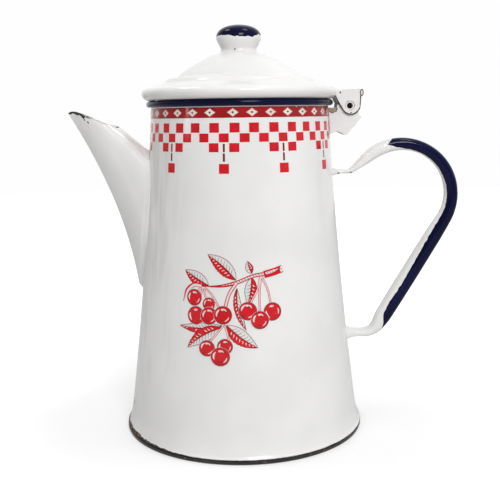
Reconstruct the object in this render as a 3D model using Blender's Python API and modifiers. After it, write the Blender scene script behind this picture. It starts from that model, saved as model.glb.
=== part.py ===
"""Coffee pot: an enamelled sheet-steel pot with a long spout, a tubular handle and a hinged lid.

Metres, +Z up.  The origin is the centre of the flat base.  The spout points to -X, and the
handle and the hinge to +X.  Each sub-part is one named object, and the lid's pieces hang on an
empty that sits on the hinge pin.
"""

from math import cos, hypot, pi, radians, sin

import bmesh
import bpy
from mathutils import Matrix, Vector

MM = 0.001
GAP = 0.3 * MM                # left between pieces that touch
SHEET = 1.0 * MM              # steel and enamel together
TURN_STEPS = 48
MERGE = 0.01 * MM

# Pot body
RIM_Z = 175.4 * MM            # centre of the rolled rim
FOOT_R = 65.0 * MM
CONE_BASE_R = 63.6 * MM
CONE_LOSS = 16.7 * MM         # how much narrower the cone is at the rim
CONE_SWEEP = 6.96 * MM        # four times how far its side bows in half way up
FLARE_Z = 11.0 * MM           # the foot flares below this height
FLARE = 2.24 * MM             # how far the flare would reach at the floor
FLARE_POWER = 1.6
RIM_TUBE_R = 1.65 * MM
RIM_SHEET = 0.55 * MM         # the sheet thins where it rolls
RIM_R = 47.85 * MM            # centre circle of the rolled rim
WIRE_R = 0.8 * MM

# Base pan
PAN_FLOOR_Z = 1.2 * MM
PAN_RIM_Z = 2.2 * MM
PAN_RIM_SHEET = 0.9 * MM
PAN_CHAMFER = 0.7 * MM

# Strainer
HOLE_R = 2.2 * MM
HOLE_PITCH = 8.0 * MM
HOLE_ROWS_Z = [96, 104, 112, 120, 128, 136]

# Lid
BRIM_R = 51.9 * MM

# Hinge
HINGE_LIMIT = 80.0            # degrees: the leaf's hem then meets the bracket's back plate
PIN_X = 57.6 * MM
PIN_Z = 173.5 * MM
PIN_R = 1.45 * MM
PIN_HOLE_R = PIN_R + GAP
EAR_OUT_Y = 9.6 * MM
EAR_IN_Y = 8.5 * MM
WEB_OUT_Y = EAR_IN_Y - GAP
WEB_IN_Y = 7.1 * MM
PIN_END_Y = 8.9 * MM
BACK_PLATE = 1.2 * MM
PIN = (PIN_X, PIN_Z)
PLATE_TOP = (63.9 * MM, 167.5 * MM)
PLATE_FOOT = (57.0 * MM, 159.3 * MM)

# Handle
GRIP_SHEET = 0.9 * MM
STRAP_Y = 4.8 * MM            # half the width of the straps
TONGUE_Y = 2.9 * MM           # half their width inside the grip
UPPER_STRAP = 1.3 * MM
LOWER_STRAP = 2.8 * MM        # folded double, so thicker than the upper one
BEND = (86.6 * MM, 125.9 * MM)    # centre of the grip's upper bend
BEND_R = 27.4 * MM                # radius of the grip's middle line there
LEG_TURN = -31.0                  # where the bend runs out into the straight leg, in degrees
LEG_LENGTH = 72.0 * MM
SLOT_ANGLE = 6.0                  # half the seam left open along the grip's inner side
SQUARENESS = 2.5

# Spout
SPOUT_SIDES = 24
SPOUT_POINTED = 0.42          # how sharply a section comes to a point at its lower end
# Each section: lower end (x, z), upper end (x, z) and half its width, in mm
SPOUT_SECTIONS = [
    ((-50.0, 73.0), (-43.5, 149.5), 19.5),
    ((-57.0, 79.0), (-48.0, 150.2), 18.6),
    ((-60.6, 96.1), (-51.3, 152.6), 16.6),
    ((-65.0, 113.0), (-54.6, 155.4), 14.2),
    ((-70.9, 130.2), (-58.0, 158.4), 11.8),
    ((-78.3, 147.2), (-61.2, 161.2), 9.8),
    ((-85.0, 159.0), (-63.3, 163.2), 8.6),
    ((-91.6, 171.6), (-64.9, 164.4), 7.6),
]


# ---------------------------------------------------------------- helpers

def clear_scene():
    for obj in list(bpy.data.objects):
        bpy.data.objects.remove(obj, do_unlink=True)


def new_collection(name):
    group = bpy.data.collections.new(name)
    bpy.context.scene.collection.children.link(group)
    return group


def material(name, colour, roughness, metallic):
    mat = bpy.data.materials.new(name)
    mat.use_nodes = True
    shader = mat.node_tree.nodes["Principled BSDF"]
    shader.inputs["Base Color"].default_value = (*colour, 1.0)
    shader.inputs["Roughness"].default_value = roughness
    shader.inputs["Metallic"].default_value = metallic
    mat.diffuse_color = (*colour, 1.0)
    return mat


def new_object(name, data, group, mat=None):
    obj = bpy.data.objects.new(name, data)
    group.objects.link(obj)
    if mat:
        data.materials.append(mat)
    return obj


def shade(obj):
    obj.data.shade_smooth()
    obj.data.set_sharp_from_angle(angle=radians(35))


def arc(centre, radius, start, end, count):
    """Points on a circle from start to end degrees, as (x, z) pairs."""
    turns = [radians(start + (end - start) * i / count) for i in range(count + 1)]
    return [(centre[0] + radius * cos(a), centre[1] + radius * sin(a)) for a in turns]


def turned(name, profile, group, mat=None, closed=True):
    """A solid of revolution: profile holds (radius, z) pairs that run down the outer side."""
    mesh = bpy.data.meshes.new(name)
    points = [(r, 0.0, z) for r, z in profile]
    edges = [(i, i + 1) for i in range(len(points) - 1)]
    if closed:
        edges.append((len(points) - 1, 0))
    mesh.from_pydata(points, edges, [])
    obj = new_object(name, mesh, group, mat)
    screw = obj.modifiers.new("turn", "SCREW")
    screw.axis = "Z"
    screw.steps = TURN_STEPS
    screw.render_steps = TURN_STEPS
    screw.use_merge_vertices = True
    screw.merge_threshold = MERGE
    screw.use_smooth_shade = True
    return obj


def slab(name, outline, half_width, group, mat=None):
    """A flat outline of (x, z) pairs, filled and extruded to both sides of the XZ plane."""
    curve = bpy.data.curves.new(name, "CURVE")
    curve.dimensions = "2D"
    curve.fill_mode = "BOTH"
    curve.extrude = half_width
    spline = curve.splines.new("POLY")
    spline.points.add(len(outline) - 1)
    for point, (x, z) in zip(spline.points, outline):
        point.co = (x, z, 0.0, 1.0)
    spline.use_cyclic_u = True
    guide = bpy.data.objects.new(name + "_outline", curve)
    bpy.context.scene.collection.objects.link(guide)
    guide.matrix_world = Matrix.Rotation(pi / 2, 4, "X")
    bpy.context.view_layer.update()
    found = guide.evaluated_get(bpy.context.evaluated_depsgraph_get())
    mesh = bpy.data.meshes.new_from_object(found)
    mesh.name = name
    work = bmesh.new()
    work.from_mesh(mesh)
    bmesh.ops.remove_doubles(work, verts=work.verts, dist=MERGE)
    bmesh.ops.recalc_face_normals(work, faces=work.faces)
    work.to_mesh(mesh)
    work.free()
    obj = new_object(name, mesh, group, mat)
    obj.matrix_world = guide.matrix_world.copy()
    bpy.data.objects.remove(guide, do_unlink=True)
    return obj


def loft(name, rings, capped, group, mat):
    """A skin over rings of points with the same count, closed at both ends when capped."""
    mesh = bpy.data.meshes.new(name)
    work = bmesh.new()
    loops = [[work.verts.new(point) for point in ring] for ring in rings]
    for near, far in zip(loops, loops[1:]):
        for i in range(len(near)):
            j = (i + 1) % len(near)
            work.faces.new((near[i], near[j], far[j], far[i]))
    if capped:
        work.faces.new(loops[0])
        work.faces.new(loops[-1])
    bmesh.ops.recalc_face_normals(work, faces=work.faces)
    work.to_mesh(mesh)
    work.free()
    return new_object(name, mesh, group, mat)


def rod(name, radius, half_length, place, sides, group, mat=None):
    """A cylinder that lies along Y."""
    mesh = bpy.data.meshes.new(name)
    work = bmesh.new()
    bmesh.ops.create_cone(work, cap_ends=True, segments=sides, radius1=radius, radius2=radius,
                          depth=2 * half_length, matrix=Matrix.Rotation(pi / 2, 4, "X"))
    work.to_mesh(mesh)
    work.free()
    obj = new_object(name, mesh, group, mat)
    obj.location = place
    return obj


def boolean(obj, other, operation):
    step = obj.modifiers.new(operation.lower(), "BOOLEAN")
    step.operation = operation
    step.solver = "EXACT"
    step.object = other


def as_cutter(obj):
    obj.hide_render = True
    obj.display_type = "WIRE"
    return obj


def hang_on(obj, pivot):
    obj.parent = pivot
    obj.matrix_parent_inverse = Matrix.Translation(pivot.location).inverted()


# ---------------------------------------------------------------- the pot's own shape

def cone_radius(z):
    """Outer radius of the wall, without the foot's flare."""
    s = z / RIM_Z
    return CONE_BASE_R - CONE_LOSS * s - CONE_SWEEP * s * (1 - s)


def wall_radius(z):
    """Outer radius of the wall with the foot's flare."""
    if z >= FLARE_Z:
        return cone_radius(z)
    low = 1 - z / FLARE_Z
    return cone_radius(z) + FLARE * low ** FLARE_POWER


def body_profile():
    seam_z = PAN_RIM_Z + GAP
    sole_z = PAN_FLOOR_Z + GAP
    bead_r = FOOT_R - 0.15 * MM
    foot_r = FOOT_R - PAN_RIM_SHEET - GAP
    heights = [170, 150, 110, 75, 45, 22, 11, 7, 4]
    curl_end = -105
    centre = (RIM_R, RIM_Z)
    curl = arc(centre, RIM_TUBE_R, 180, curl_end, 10)
    hollow = arc(centre, RIM_TUBE_R - RIM_SHEET, curl_end, 180, 7)
    outer = [(wall_radius(z * MM), z * MM) for z in heights]
    foot = [
        (bead_r, seam_z + 0.6 * MM),
        (bead_r, seam_z),
        (foot_r, seam_z),
        (foot_r, sole_z),
        (foot_r - SHEET, sole_z),
        (foot_r - SHEET, seam_z + SHEET),
    ]
    inner = [(wall_radius(z * MM) - SHEET, z * MM) for z in reversed(heights[:-1])]
    return curl + hollow + outer + foot + inner


def body_cutter(group):
    """The pot's outer shape grown by one gap, for trimming what is welded to the wall."""
    heights = [177, 160, 150, 130, 110, 90, 75, 60, 45, 30, 22, 11]
    side = [(cone_radius(z * MM) + GAP, z * MM) for z in heights]
    profile = [(0.0, side[0][1])] + side + [(0.0, side[-1][1])]
    return as_cutter(turned("trim_to_wall", profile, group, closed=False))


def strainer_cutter(group):
    """One object with a short rod for each hole of the strainer."""
    mesh = bpy.data.meshes.new("strainer_holes")
    work = bmesh.new()
    for row, z in enumerate(HOLE_ROWS_Z):
        columns = [-0.5, 0.5] if row % 2 else ([-1, 0, 1] if row else [0])
        for column in columns:
            spot = Matrix.Translation((-52 * MM, column * HOLE_PITCH, z * MM))
            bmesh.ops.create_cone(work, cap_ends=True, segments=10, radius1=HOLE_R,
                                  radius2=HOLE_R, depth=14 * MM,
                                  matrix=spot @ Matrix.Rotation(pi / 2, 4, "Y"))
    work.to_mesh(mesh)
    work.free()
    return as_cutter(new_object("strainer_holes", mesh, group))


def make_body(parts, cutters, mat):
    body = turned("body_shell", body_profile(), parts, mat)
    boolean(body, strainer_cutter(cutters), "DIFFERENCE")
    return body


def make_rim_wire(parts, mat):
    profile = arc((RIM_R, RIM_Z), WIRE_R, 180, -180, 8)[:-1]
    return turned("rim_wire", profile, parts, mat)


def make_base_pan(parts, mat):
    rim_in = FOOT_R - PAN_RIM_SHEET
    profile = [
        (0.0, PAN_FLOOR_Z),
        (rim_in, PAN_FLOOR_Z),
        (rim_in, PAN_RIM_Z),
        (FOOT_R - 0.25 * MM, PAN_RIM_Z),
        (FOOT_R, PAN_RIM_Z - 0.4 * MM),
        (FOOT_R, PAN_CHAMFER),
        (FOOT_R - PAN_CHAMFER, 0.0),
        (0.0, 0.0),
    ]
    return turned("base_pan", profile, parts, mat, closed=False)


# ---------------------------------------------------------------- spout

def spout_ring(lower, upper, half_width):
    """A tear-shaped ring in the plane through lower and upper, rounded at its upper end."""
    mid = Vector(((lower[0] + upper[0]) / 2, 0.0, (lower[1] + upper[1]) / 2)) * MM
    half = Vector(((upper[0] - lower[0]) / 2, 0.0, (upper[1] - lower[1]) / 2)) * MM
    ring = []
    for i in range(SPOUT_SIDES):
        turn = 2 * pi * i / SPOUT_SIDES
        fullness = ((1 + cos(turn)) / 2) ** SPOUT_POINTED
        across = Vector((0.0, half_width * MM * sin(turn) * fullness, 0.0))
        ring.append(mid + half * cos(turn) + across)
    return ring


def make_spout(parts, wall, mat):
    rings = [spout_ring(*section) for section in SPOUT_SECTIONS]
    spout = loft("spout_shell", rings, False, parts, mat)
    shell = spout.modifiers.new("sheet", "SOLIDIFY")
    shell.thickness = SHEET
    shell.offset = -1
    shell.use_even_offset = True
    boolean(spout, wall, "DIFFERENCE")
    return spout


# ---------------------------------------------------------------- handle

def grip_section(half_depth, half_width):
    """A rolled tube as (depth, width) pairs, with its seam towards the pot."""
    def oval(depth, width, start, end, count):
        ring = []
        for i in range(count + 1):
            turn = radians(start + (end - start) * i / count)
            reach = (abs(cos(turn)) ** SQUARENESS + abs(sin(turn)) ** SQUARENESS) ** (-1 / SQUARENESS)
            ring.append((depth * reach * cos(turn), width * reach * sin(turn)))
        return ring
    skin = oval(half_depth, half_width, -180 + SLOT_ANGLE, 180 - SLOT_ANGLE, 14)
    lining = oval(half_depth - GRIP_SHEET, half_width - GRIP_SHEET,
                  180 - SLOT_ANGLE, -180 + SLOT_ANGLE, 12)
    return skin + lining


def grip_stations():
    """Place, outward direction, half depth and half width along the grip, from the top end."""
    stations = []
    for turn, depth, width in [(151, 2.0, 4.8), (146, 2.3, 4.9), (138, 2.75, 5.0), (128, 3.2, 5.0)]:
        stations.append((turn, depth, width))
    for i in range(13):
        stations.append((118 + (LEG_TURN - 118) * i / 12, 3.55, 5.0))
    places = []
    for turn, depth, width in stations:
        out = (cos(radians(turn)), sin(radians(turn)))
        reach = BEND_R + max(0.0, turn - 132) * 0.09 * MM
        place = (BEND[0] + reach * out[0], BEND[1] + reach * out[1])
        places.append((place, out, depth * MM, width * MM))
    last = places[-1][0]
    out = (cos(radians(LEG_TURN)), sin(radians(LEG_TURN)))
    along = (out[1], -out[0])
    for share, depth, width in [(0.2, 3.8, 5.2), (0.5, 4.0, 5.3), (0.88, 4.0, 5.2), (0.96, 3.7, 5.1),
                                (1.0, 3.1, 4.9)]:
        step = share * LEG_LENGTH
        place = (last[0] + step * along[0], last[1] + step * along[1])
        places.append((place, out, depth * MM, width * MM))
    return places


def make_grip(parts, mat):
    rings = []
    for place, out, half_depth, half_width in grip_stations():
        ring = []
        for depth, width in grip_section(half_depth, half_width):
            ring.append(Vector((place[0] + depth * out[0], width, place[1] + depth * out[1])))
        rings.append(ring)
    return loft("handle_grip", rings, True, parts, mat)


def thick_line(points, thickness):
    """The outline of a strip of sheet whose middle runs through (x, z) points."""
    left = []
    right = []
    for i, point in enumerate(points):
        before = points[max(i - 1, 0)]
        after = points[min(i + 1, len(points) - 1)]
        along = (after[0] - before[0], after[1] - before[1])
        length = hypot(*along)
        across = (-along[1] / length * thickness / 2, along[0] / length * thickness / 2)
        left.append((point[0] + across[0], point[1] + across[1]))
        right.append((point[0] - across[0], point[1] - across[1]))
    return left + right[::-1]


def make_strap(name, points, thickness, tongue_x, parts, wall, mat):
    """A strip welded to the wall, narrowed to a tongue where it enters the grip."""
    middle = [(x * MM, z * MM) for x, z in points]
    strap = slab(name, thick_line(middle, thickness), STRAP_Y, parts, mat)
    for vertex in strap.data.vertices:
        if vertex.co.x > tongue_x * MM:
            vertex.co.z *= TONGUE_Y / STRAP_Y
    boolean(strap, wall, "DIFFERENCE")
    return strap


def make_straps(parts, wall, mat):
    upper = [(44, 138.8), (52, 138.6), (58.2, 138.4), (60.8, 139.6), (62.8, 141.8), (65.8, 144.6),
             (68.0, 146.3)]
    lower = [(54, 49.2), (62, 49.2), (68.6, 49.2), (71.8, 49.3), (73.5, 51.0), (75.2, 53.8),
             (77.9, 58.3)]
    make_strap("handle_upper_strap", upper, UPPER_STRAP, 59, parts, wall, mat)
    make_strap("handle_lower_strap", lower, LOWER_STRAP, 70, parts, wall, mat)


# ---------------------------------------------------------------- hinge

def bracket_outline():
    """The pot's half of the hinge seen from the side, back plate on the right."""
    knuckle = arc(PIN, 3.6 * MM, 140, 0, 6)
    return [
        (44.0 * MM, 172.6 * MM),
        (51.0 * MM, 172.6 * MM),
        (51.4 * MM, 175.6 * MM),
        *knuckle,
        (62.9 * MM, 168.4 * MM),
        PLATE_TOP,
        PLATE_FOOT,
        (55.5 * MM, 158.2 * MM),
        (51.5 * MM, 160.2 * MM),
        (48.6 * MM, 159.6 * MM),
        (44.0 * MM, 156.6 * MM),
    ]


def make_bracket(parts, cutters, wall, mat):
    bracket = slab("hinge_bracket", bracket_outline(), WEB_OUT_Y, parts, mat)
    run = Vector((PLATE_TOP[0] - PLATE_FOOT[0], PLATE_TOP[1] - PLATE_FOOT[1])).normalized()
    inward = Vector((-run.y, run.x)) * BACK_PLATE
    top = Vector(PLATE_TOP) + inward + run * 12 * MM
    foot = Vector(PLATE_FOOT) + inward - run * 6 * MM
    open_side = [tuple(top), tuple(foot), (40 * MM, foot.y), (40 * MM, top.y)]
    inside = as_cutter(slab("bracket_inside", open_side, WEB_IN_Y, cutters))
    boolean(bracket, inside, "DIFFERENCE")
    boolean(bracket, pin_hole(cutters), "DIFFERENCE")
    boolean(bracket, wall, "DIFFERENCE")
    return bracket


def pin_hole(group):
    name = "pin_hole"
    found = bpy.data.objects.get(name)
    if found:
        return found
    return as_cutter(rod(name, PIN_HOLE_R, 15 * MM, (PIN_X, 0.0, PIN_Z), 20, group))


def make_pin(parts, mat):
    return rod("hinge_pin", PIN_R, PIN_END_Y, (PIN_X, 0.0, PIN_Z), 20, parts, mat)


def leaf_outline():
    """The lid's half of the hinge seen from the side: two ears under a top plate."""
    heel = arc((58.2 * MM, 173.9 * MM), 5.1 * MM, -10, -140, 6)
    return [
        (49.6 * MM, 181.6 * MM),
        (56.0 * MM, 181.8 * MM),
        (63.0 * MM, 182.1 * MM),
        (63.9 * MM, 182.0 * MM),
        (64.6 * MM, 181.2 * MM),
        (64.6 * MM, 179.2 * MM),
        (63.9 * MM, 178.3 * MM),
        (63.5 * MM, 178.0 * MM),
        *heel,
        (50.9 * MM, 176.1 * MM),
        (49.7 * MM, 178.8 * MM),
    ]


def leaf_inside_outline():
    return [
        (46.0 * MM, 180.4 * MM),
        (56.0 * MM, 180.7 * MM),
        (62.6 * MM, 181.0 * MM),
        (63.0 * MM, 178.2 * MM),
        (70.0 * MM, 178.2 * MM),
        (70.0 * MM, 160.0 * MM),
        (46.0 * MM, 160.0 * MM),
    ]


def make_leaf(parts, cutters, mat):
    leaf = slab("lid_hinge_leaf", leaf_outline(), EAR_OUT_Y, parts, mat)
    inside = as_cutter(slab("leaf_inside", leaf_inside_outline(), EAR_IN_Y, cutters))
    boolean(leaf, inside, "DIFFERENCE")
    boolean(leaf, pin_hole(cutters), "DIFFERENCE")
    brim = [(0.0, 190 * MM), (BRIM_R + GAP, 190 * MM), (BRIM_R + GAP, 170 * MM), (0.0, 170 * MM)]
    boolean(leaf, as_cutter(turned("trim_to_brim", brim, cutters, closed=False)), "DIFFERENCE")
    return leaf


# ---------------------------------------------------------------- lid

def lid_profile():
    """Outer side of the lid from the middle down, then back up the inner side."""
    outer = [
        (0.0, 202.9), (9.5, 201.9), (15.8, 199.8), (21.4, 197.0), (28.3, 192.9), (31.3, 190.8),
        (34.2, 189.1), (38.0, 188.1), (39.6, 186.8), (42.4, 185.8), (46.8, 184.0), (49.2, 183.5),
        (51.0, 182.8), (51.9, 181.4), (51.7, 179.8), (50.6, 178.3), (49.0, 177.4),
    ]
    inner = [
        (48.8, 178.3), (50.0, 179.2), (50.8, 180.6), (50.2, 182.0), (48.8, 182.5), (46.4, 183.0),
        (42.0, 184.8), (39.0, 185.9), (37.5, 187.1), (34.0, 188.0), (30.9, 189.8), (27.7, 192.0),
        (21.0, 196.0), (15.4, 198.8), (9.3, 200.9), (0.0, 201.9),
    ]
    return [(r * MM, z * MM) for r, z in outer + inner]


def make_lid(parts, mat):
    return turned("lid_shell", lid_profile(), parts, mat, closed=False)


def make_collar(parts, mat):
    """The ring that keeps the lid in the mouth, flared where it is welded under the brim."""
    profile = [
        (46.4, 182.4), (46.8, 182.2), (46.6, 181.0), (44.6, 178.6), (44.6, 171.2), (44.2, 170.8),
        (43.7, 171.1), (43.7, 178.8), (45.6, 181.2), (45.8, 182.5),
    ]
    return turned("lid_collar", [(r * MM, z * MM) for r, z in profile], parts, mat)


def make_knob(parts, mat):
    profile = [
        (0.0, 216.2), (6.6, 215.2), (9.8, 213.5), (11.5, 211.4), (11.9, 209.4), (11.3, 207.2),
        (10.1, 205.2), (9.3, 203.6), (9.4, 202.8), (9.9, 202.3), (9.0, 202.35), (8.3, 203.6),
        (9.1, 205.6), (10.2, 207.5), (10.8, 209.4), (10.4, 211.0), (9.0, 212.7), (6.2, 214.2),
        (0.0, 215.1),
    ]
    return turned("lid_knob", [(r * MM, z * MM) for r, z in profile], parts, mat, closed=False)


# ---------------------------------------------------------------- assembly

def main():
    clear_scene()
    parts = new_collection("coffee_pot")
    cutters = new_collection("cutters")
    white = (0.86, 0.86, 0.85)
    navy = (0.006, 0.010, 0.055)
    wall = body_cutter(cutters)

    make_body(parts, cutters, material("body_enamel", white, 0.18, 0.0))
    make_rim_wire(parts, material("wire_steel", (0.30, 0.29, 0.28), 0.45, 1.0))
    make_base_pan(parts, material("base_enamel", (0.05, 0.045, 0.05), 0.35, 0.0))
    make_spout(parts, wall, material("spout_enamel", white, 0.18, 0.0))
    make_grip(parts, material("grip_enamel", navy, 0.18, 0.0))
    make_straps(parts, wall, material("strap_enamel", white, 0.2, 0.0))
    make_bracket(parts, cutters, wall, material("bracket_enamel", white, 0.22, 0.0))
    make_pin(parts, material("pin_steel", (0.16, 0.13, 0.11), 0.5, 1.0))

    pivot = bpy.data.objects.new("lid_pivot", None)
    pivot.location = (PIN_X, 0.0, PIN_Z)
    turn = pivot.constraints.new("LIMIT_ROTATION")
    turn.use_limit_y = True
    turn.min_y = 0.0
    turn.max_y = radians(HINGE_LIMIT)
    turn.owner_space = "LOCAL"
    parts.objects.link(pivot)
    lid_pieces = [
        make_lid(parts, material("lid_enamel", white, 0.18, 0.0)),
        make_collar(parts, material("collar_enamel", white, 0.2, 0.0)),
        make_knob(parts, material("knob_enamel", navy, 0.16, 0.0)),
        make_leaf(parts, cutters, material("leaf_enamel", white, 0.22, 0.0)),
    ]
    for piece in lid_pieces:
        hang_on(piece, pivot)
    for obj in parts.objects:
        if obj.type == "MESH":
            shade(obj)


main()
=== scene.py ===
"""The looks of the enamelled coffee pot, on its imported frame. Lengths here are in millimetres."""

from math import atan2, cos, hypot, pi, radians, sin

import bmesh
import bpy
import numpy as np
from mathutils import Matrix, Vector, noise


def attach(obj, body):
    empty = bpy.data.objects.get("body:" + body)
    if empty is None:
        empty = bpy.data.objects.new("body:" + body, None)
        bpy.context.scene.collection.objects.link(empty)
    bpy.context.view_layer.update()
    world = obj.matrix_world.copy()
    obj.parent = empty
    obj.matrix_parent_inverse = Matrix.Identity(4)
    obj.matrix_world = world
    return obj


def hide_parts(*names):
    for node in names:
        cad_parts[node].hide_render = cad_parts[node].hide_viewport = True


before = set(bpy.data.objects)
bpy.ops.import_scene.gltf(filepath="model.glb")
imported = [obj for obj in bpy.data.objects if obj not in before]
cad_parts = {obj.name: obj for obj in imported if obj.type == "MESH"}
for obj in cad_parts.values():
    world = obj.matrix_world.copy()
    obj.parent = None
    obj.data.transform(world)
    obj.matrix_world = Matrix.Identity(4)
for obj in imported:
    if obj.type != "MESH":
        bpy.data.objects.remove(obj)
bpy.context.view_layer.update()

MM = 0.001
AROUND = 192                   # steps round the large turned pieces

# The wall, as in the CAD
WALL_TOP = 175.4
RIM_R = 47.85
RIM_TUBE = 1.65
GIRTH = 54.8                   # radius that the sprig is laid out on

# The hinge
PIN_X, PIN_Z = 57.6, 173.5     # its axis
EAR_OUT = 9.6                  # outer and inner faces of the leaf's ears
EAR_IN = 8.5
HEM_X, HEM_Z = 63.75, 180.1    # middle of the rolled hem's end
HEM_OUT = 9.76                 # where the hem's end stands out, and its sunk middle
HEM_SUNK = 9.68
SIGHT_TURN = 0.6               # degrees by which the printed border is turned on the pot

WHITE = (0.80, 0.795, 0.785, 1)
WHITE_SHADE = (0.76, 0.755, 0.745, 1)
NAVY = (0.0022, 0.0028, 0.022, 1)
NAVY_SHADE = (0.0038, 0.005, 0.040, 1)
IRON = (0.012, 0.010, 0.010, 1)
RUST = (0.22, 0.10, 0.045, 1)
RED = (0.66, 0.010, 0.020, 1)
RED_SHADE = (0.56, 0.008, 0.016, 1)
BAND_RED = (0.38, 0.008, 0.012, 1)
BAND_SHADE = (0.32, 0.008, 0.012, 1)
MAROON = (0.24, 0.008, 0.014, 1)
MAROON_SHADE = (0.14, 0.006, 0.010, 1)
CREAM = (0.80, 0.76, 0.68, 1)
CREAM_SHADE = (0.70, 0.64, 0.56, 1)


# ------------ numbers

def smooth(low, high, value):
    share = min(1.0, max(0.0, (value - low) / (high - low)))
    return share * share * (3 - 2 * share)


def table(rows, at):
    """Each column of rows, read off smoothly at a value of the first column."""
    rows = np.array(rows, float)
    keys = rows[:, 0]
    i = int(np.clip(np.searchsorted(keys, at) - 1, 0, len(keys) - 2))
    span = keys[i + 1] - keys[i]
    share = min(1.0, max(0.0, (at - keys[i]) / span))
    before = rows[max(i - 1, 0)]
    after = rows[min(i + 2, len(rows) - 1)]
    slope_a = (rows[i + 1] - before) / max(keys[i + 1] - before[0], 1e-9) * span
    slope_b = (after - rows[i]) / max(after[0] - keys[i], 1e-9) * span
    s2 = share * share
    s3 = s2 * share
    value = ((2 * s3 - 3 * s2 + 1) * rows[i] + (s3 - 2 * s2 + share) * slope_a
             + (3 * s2 - 2 * s3) * rows[i + 1] + (s3 - s2) * slope_b)
    return value[1:]


def curve(points, step):
    """A smooth line through points, cut about every step."""
    points = [np.array(p, float) for p in points]
    keys = [0.0]
    for a, b in zip(points, points[1:]):
        keys.append(keys[-1] + float(np.linalg.norm(b - a)))
    rows = [[k, *p] for k, p in zip(keys, points)]
    count = max(2, int(round(keys[-1] / step)))
    return [tuple(table(rows, keys[-1] * i / count)) for i in range(count + 1)]


def cone(z):
    """Outer radius of the wall."""
    share = z / WALL_TOP
    radius = 63.6 - 16.7 * share - 6.96 * share * (1 - share)
    if z < 11.0:
        radius += 2.24 * (1 - z / 11.0) ** 1.6
    return radius


def on_wall(turn, z, lift):
    """The point at an angle round the wall, from the front towards the handle."""
    radius = cone(z) + lift
    return (radius * sin(turn), -radius * cos(turn), z)


def ripple(x, y, seed):
    """Smooth noise from -1 to 1."""
    return noise.noise(Vector((x, y, seed)))


# ------------ shaders

class Shader:
    """A node material while it is being made."""

    def __init__(self, name, roughness=0.12):
        self.mat = bpy.data.materials.new(name)
        self.mat.use_nodes = True
        self.tree = self.mat.node_tree
        self.bsdf = self.tree.nodes["Principled BSDF"]
        self.bsdf.inputs["Roughness"].default_value = roughness
        self.place = self.node("ShaderNodeTexCoord").outputs["Object"]

    def node(self, kind, **settings):
        made = self.tree.nodes.new(kind)
        for key, value in settings.items():
            setattr(made, key, value)
        return made

    def set(self, socket, source):
        if isinstance(source, bpy.types.NodeSocket):
            self.tree.links.new(source, socket)
        else:
            socket.default_value = source

    def math(self, operation, a, b=0.0):
        made = self.node("ShaderNodeMath", operation=operation)
        self.set(made.inputs[0], a)
        self.set(made.inputs[1], b)
        return made.outputs[0]

    def noise(self, size, detail=2.0, stretch=(1, 1, 1), seed=0.0):
        """Noise from 0 to 1 with features about size mm across, drawn out by stretch."""
        mapping = self.node("ShaderNodeMapping")
        self.set(mapping.inputs["Vector"], self.place)
        mapping.inputs["Scale"].default_value = [1 / (size * MM * s) for s in stretch]
        mapping.inputs["Location"].default_value = (seed, seed * 1.7, -seed)
        made = self.node("ShaderNodeTexNoise")
        self.set(made.inputs["Vector"], mapping.outputs[0])
        made.inputs["Scale"].default_value = 1.0
        made.inputs["Detail"].default_value = detail
        return made.outputs["Fac"]

    def step(self, value, low, high, start=0.0, end=1.0):
        made = self.node("ShaderNodeMapRange", interpolation_type="SMOOTHSTEP")
        for index, source in enumerate((value, low, high, start, end)):
            self.set(made.inputs[index], source)
        return made.outputs[0]

    def mix(self, mask, a, b):
        made = self.node("ShaderNodeMix", data_type="RGBA")
        self.set(made.inputs[0], mask)
        self.set(made.inputs[6], a)
        self.set(made.inputs[7], b)
        return made.outputs[2]

    def bump(self, height, depth, under=None):
        """Bump of a height from 0 to 1 that stands for depth mm."""
        made = self.node("ShaderNodeBump")
        made.inputs["Strength"].default_value = 1.0
        made.inputs["Distance"].default_value = depth * MM
        self.set(made.inputs["Height"], height)
        if under is not None:
            self.set(made.inputs["Normal"], under)
        return made.outputs[0]

    def spot(self, x, y, z, radius, seed):
        """A round mask with an uneven edge."""
        far = self.node("ShaderNodeVectorMath", operation="DISTANCE")
        self.set(far.inputs[0], self.place)
        far.inputs[1].default_value = (x * MM, y * MM, z * MM)
        reach = self.math("DIVIDE", far.outputs["Value"], radius * MM)
        uneven = self.math("MULTIPLY", self.noise(max(0.6, radius * 0.8), 3, seed=seed), 0.8)
        return self.step(self.math("ADD", reach, uneven), 1.35, 1.5, 1.0, 0.0)

    def attribute(self, name):
        return self.node("ShaderNodeAttribute", attribute_name=name).outputs["Fac"]


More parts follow.
